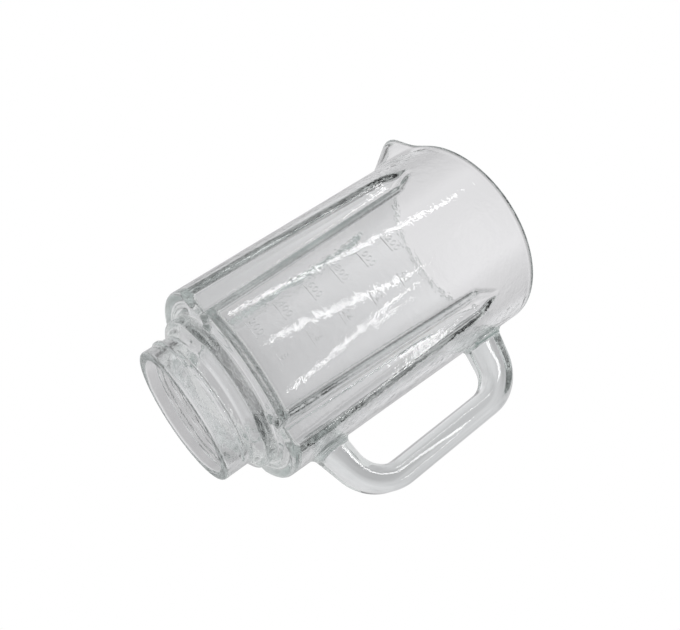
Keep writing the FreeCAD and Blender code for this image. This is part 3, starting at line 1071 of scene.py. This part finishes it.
@dataclass(frozen=True)
class Surroundings:
    """White for the eye, and for the glass a clouded grey with darker and lighter bands.

    The bands are places from left, 0, to right, 1, with their levels. The floor takes soft_level.
    """

    name: str = "studio"
    soft_level: float = 0.9
    left_level: float = 0.9
    right_level: float = 0.5
    bands: tuple[Pair, ...] = (
        (0.10, 0.18), (0.18, 0.74), (0.35, 0.70), (0.50, 0.70), (0.58, 0.60), (0.67, 0.70), (0.80, 0.92),
        (0.90, 0.18),
    )
    band_cast: Place = (1.0, 0.987, 1.003)
    cloud_scale: float = 3.0
    cloud_detail: float = 3.0
    cloud_noise: Pair = (0.3, 0.7)
    cloud_level: Pair = (0.86, 1.12)
    sky_height: Pair = (0.15, 0.6)
    sky_level: Pair = (0.80, 1.09)

    def banded(self, sheet: NodeSheet, across: bpy.types.NodeSocket) -> bpy.types.NodeSocket:
        """Grey of the bands.

        Args:
            sheet: The world's node tree.
            across: Place from left to right.

        Returns:
            The colour there.
        """
        node = sheet.add("ShaderNodeValToRGB", {"Fac": across})
        stops = node.color_ramp.elements
        node.color_ramp.interpolation = "EASE"
        stops[0].color = grey(self.left_level)
        stops[1].color = grey(self.right_level)
        for position, level in self.bands:
            stop = stops.new(position)
            stop.color = [level * share for share in self.band_cast] + [1.0]
        return node.outputs["Color"]

    def build(self) -> bpy.types.World:
        """Makes the surroundings.

        Returns:
            The world.
        """
        world = bpy.data.worlds.new(self.name)
        world.use_nodes = True
        sheet = NodeSheet(world.node_tree)
        place = sheet.add("ShaderNodeTexCoord").outputs["Generated"]
        axes = sheet.add("ShaderNodeSeparateXYZ", {"Vector": place}).outputs
        across = sheet.ramp(axes["X"], (-1.0, 1.0), (0.0, 1.0))
        clouds = sheet.noise(place, self.cloud_scale, self.cloud_detail)
        depth = sheet.ramp(clouds, self.cloud_noise, self.cloud_level)
        sky = sheet.ramp(axes["Z"], self.sky_height, self.sky_level, "SMOOTHSTEP")
        for_glass = sheet.background(self.banded(sheet, across), sheet.maths("MULTIPLY", depth, sky))
        for_floor = sheet.background(grey(1.0), self.soft_level)
        for_eye = sheet.background(grey(1.0), 1.0)
        ray = sheet.add("ShaderNodeLightPath").outputs
        on_things = sheet.mixed(ray["Is Diffuse Ray"], for_glass, for_floor)
        surface = sheet.mixed(ray["Is Camera Ray"], on_things, for_eye)
        sheet.add("ShaderNodeOutputWorld", {"Surface": surface})
        return world


@dataclass(frozen=True)
class Strip:
    """Long narrow lamp, seen in the glass as a streak."""

    name: str
    low: Place
    high: Place
    width: float
    power: float
    target: Place = (0.0, 0.0, 110 * MM)

    def build(self) -> bpy.types.Object:
        """Stretches the lamp between its ends and turns it towards its target.

        Returns:
            The lamp, in the scene.
        """
        low, high = Vector(self.low), Vector(self.high)
        lamp = bpy.data.lights.new(self.name, "AREA")
        lamp.shape = "RECTANGLE"
        lamp.size = self.width
        lamp.size_y = (high - low).length
        lamp.energy = self.power
        along = (high - low).normalized()
        back = ((low + high) / 2 - Vector(self.target)).normalized()
        across = along.cross(back).normalized()
        axes = Matrix((across, along, across.cross(along))).transposed()
        holder = bpy.data.objects.new(self.name, lamp)
        holder.matrix_world = Matrix.Translation((low + high) / 2) @ axes.to_4x4()
        holder.visible_transmission = False
        bpy.context.scene.collection.objects.link(holder)
        return holder


@dataclass
class Studio:
    """Floor, surroundings, lamps and camera.

    In the photograph the jar's axis climbs to the right by jar_climb and leans away by jar_lean. The view
    is turned about that axis by camera_turn.
    """

    floor_radius: float = 3.0
    floor_segments: int = 96
    camera_place: Place = (38.2 * MM, -443.2 * MM, -87.3 * MM)
    camera_turn: float = 4.8
    jar_climb: float = 33.43
    jar_lean: float = 24.82
    lens: float = 41.02
    sensor_width: float = 36.0
    nearest: float = 0.01
    strips: tuple[Strip, ...] = (
        Strip("strip_left", (-0.95, -0.76, 0.36), (-0.55, -0.92, 0.86), 0.05, 1.1),
        Strip("strip_middle", (-0.23, -1.19, 0.41), (0.24, -1.10, 0.71), 0.055, 1.0),
        Strip("strip_right", (0.72, -0.98, 0.38), (0.40, -1.07, 0.70), 0.04, 0.65),
    )

    def floor(self) -> bpy.types.Object:
        """Floor disc at the neck's end.

        Returns:
            The floor, in the scene.
        """
        mesh = bmesh.new()
        bmesh.ops.create_circle(mesh, cap_ends=True, segments=self.floor_segments, radius=self.floor_radius)
        piece = finished("floor", mesh)
        piece.data.materials.append(PaleFloor().build())
        return piece

    def camera(self) -> bpy.types.Object:
        """Camera at the photograph's viewing angle, looking up past the neck.

        Returns:
            The camera, which is the scene's.
        """
        climb, lean = math.radians(self.jar_climb), math.radians(self.jar_lean)
        # Two of the jar's axes, each as its parts to the right, down and away in the photograph.
        level = math.cos(lean)
        up_jar = Vector((level * math.cos(climb), -level * math.sin(climb), math.sin(lean)))
        to_handle = Vector((math.sin(climb), math.cos(climb), 0.0))
        seen = Matrix((to_handle, up_jar.cross(to_handle), up_jar)).transposed()
        # Blender's camera has up in place of down and looks along its own -Z.
        facing = (Matrix(((1, 0, 0), (0, -1, 0), (0, 0, -1))) @ seen).transposed()
        turned = Matrix.Rotation(math.radians(self.camera_turn), 3, "Z") @ facing
        data = bpy.data.cameras.new("camera")
        data.sensor_width = self.sensor_width
        data.lens = self.lens
        data.clip_start = self.nearest
        holder = bpy.data.objects.new("camera", data)
        holder.matrix_world = Matrix.Translation(self.camera_place) @ turned.to_4x4()
        bpy.context.scene.collection.objects.link(holder)
        bpy.context.scene.camera = holder
        return holder

    def build(self) -> None:
        """Sets the whole studio up."""
        self.floor()
        bpy.context.scene.world = Surroundings().build()
        self.camera()
        for strip in self.strips:
            strip.build()
        bpy.context.scene.view_settings.view_transform = "Standard"


def main() -> None:
    """Builds the jar and the studio."""
    logging.basicConfig(level=logging.INFO)
    jar = Jar().build()
    log.info("%s: %d faces", jar.name, len(jar.data.polygons))
    Studio().build()
    log.info("studio")
    bpy.context.view_layer.update()


if __name__ == "__main__":
    main()
